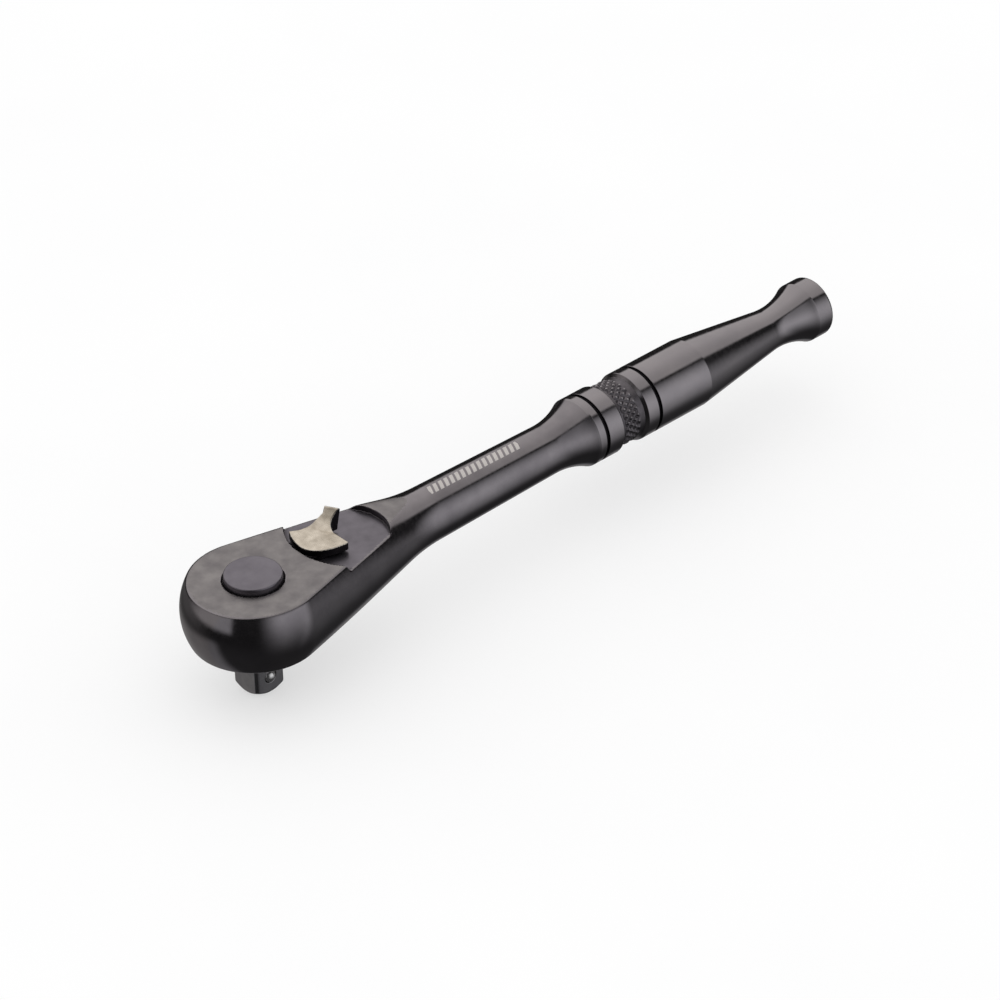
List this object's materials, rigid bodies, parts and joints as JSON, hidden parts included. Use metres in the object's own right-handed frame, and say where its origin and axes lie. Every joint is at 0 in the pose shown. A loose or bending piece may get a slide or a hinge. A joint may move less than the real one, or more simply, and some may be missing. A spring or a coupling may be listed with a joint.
{
  "type": "ratchet wrench",
  "caption": "Quarter-inch-drive ratchet wrench with a round-nosed head, reversing lever, quick-release button and a turned handle with a knurled band.",
  "frame": {"origin": "centre of the end face of the square drive tang, on the drive axis", "axes": "+X along the handle from the drive towards the grip; +Z along the drive axis, from the tang's end towards the button; +Y completes a right-handed frame"},
  "size_m": [0.1511, 0.0256, 0.0256],
  "materials": {
    "black_chrome": "polished black chrome",
    "satin_black": "satin black chrome",
    "nickel": "bright nickel with a warm cast",
    "bearing_steel": "polished steel",
    "tool_steel": "ground steel, lightly oiled",
    "spring_steel": "drawn spring wire",
    "black_oxide": "black oxide",
    "seal_rubber": "matt"
  },
  "bodies": {
    "handle": {"handle_body": "black_chrome", "cover_plate": "satin_black", "cover_screws": "black_oxide", "pawl_pivot_pin": "tool_steel", "upper_thrust_washer": "spring_steel", "lower_thrust_washer": "spring_steel"},
    "drive": {"drive_gear": "black_chrome", "drive_o_ring": "seal_rubber", "button_spring": "spring_steel"},
    "release": {"quick_release_button": "satin_black", "release_plunger": "tool_steel"},
    "ball": {"detent_ball": "bearing_steel"},
    "lever": {"reversing_lever": "nickel", "lever_o_ring": "seal_rubber", "lever_retaining_ring": "spring_steel", "pawl_spring": "spring_steel"},
    "plunger": {"pawl_plunger": "tool_steel"},
    "pawl": {"pawl": "tool_steel"}
  },
  "joints": [
    {"name": "drive_spin", "type": "hinge", "parent": "handle", "child": "drive", "pos_m": [0, 0, 0.0164], "axis": [0, 0, 1], "continuous": true},
    {"name": "button_press", "type": "slide", "parent": "drive", "child": "release", "axis": [0, 0, -1], "range_m": [0, 0.0011], "stiffness_N_per_m": 1500, "springref_m": -0.001, "deforming": ["button_spring"]},
    {"name": "ball_retract", "type": "slide", "parent": "drive", "child": "ball", "axis": [0, 1, 0], "range_m": [0, 0.0006]},
    {"name": "lever_flip", "type": "hinge", "parent": "handle", "child": "lever", "pos_m": [0.01406, 0, 0.0211], "axis": [0, 0, 1], "range_deg": [-56, 0]},
    {"name": "pawl_rock", "type": "hinge", "parent": "handle", "child": "pawl", "pos_m": [0.0093, 0, 0.0157], "axis": [0, 0, 1], "range_deg": [0, 6.88]},
    {"name": "plunger_slide", "type": "slide", "parent": "lever", "child": "plunger", "axis": [0.8829, 0.4695, 0], "range_m": [0, 0.0004], "stiffness_N_per_m": 1000, "springref_m": -0.0006}
  ],
  "couplings": [
    {"joint": "ball_retract", "follows": "button_press", "ratio": 0.54545},
    {"joint": "pawl_rock", "follows": "lever_flip", "ratio": -0.12286}
  ]
}
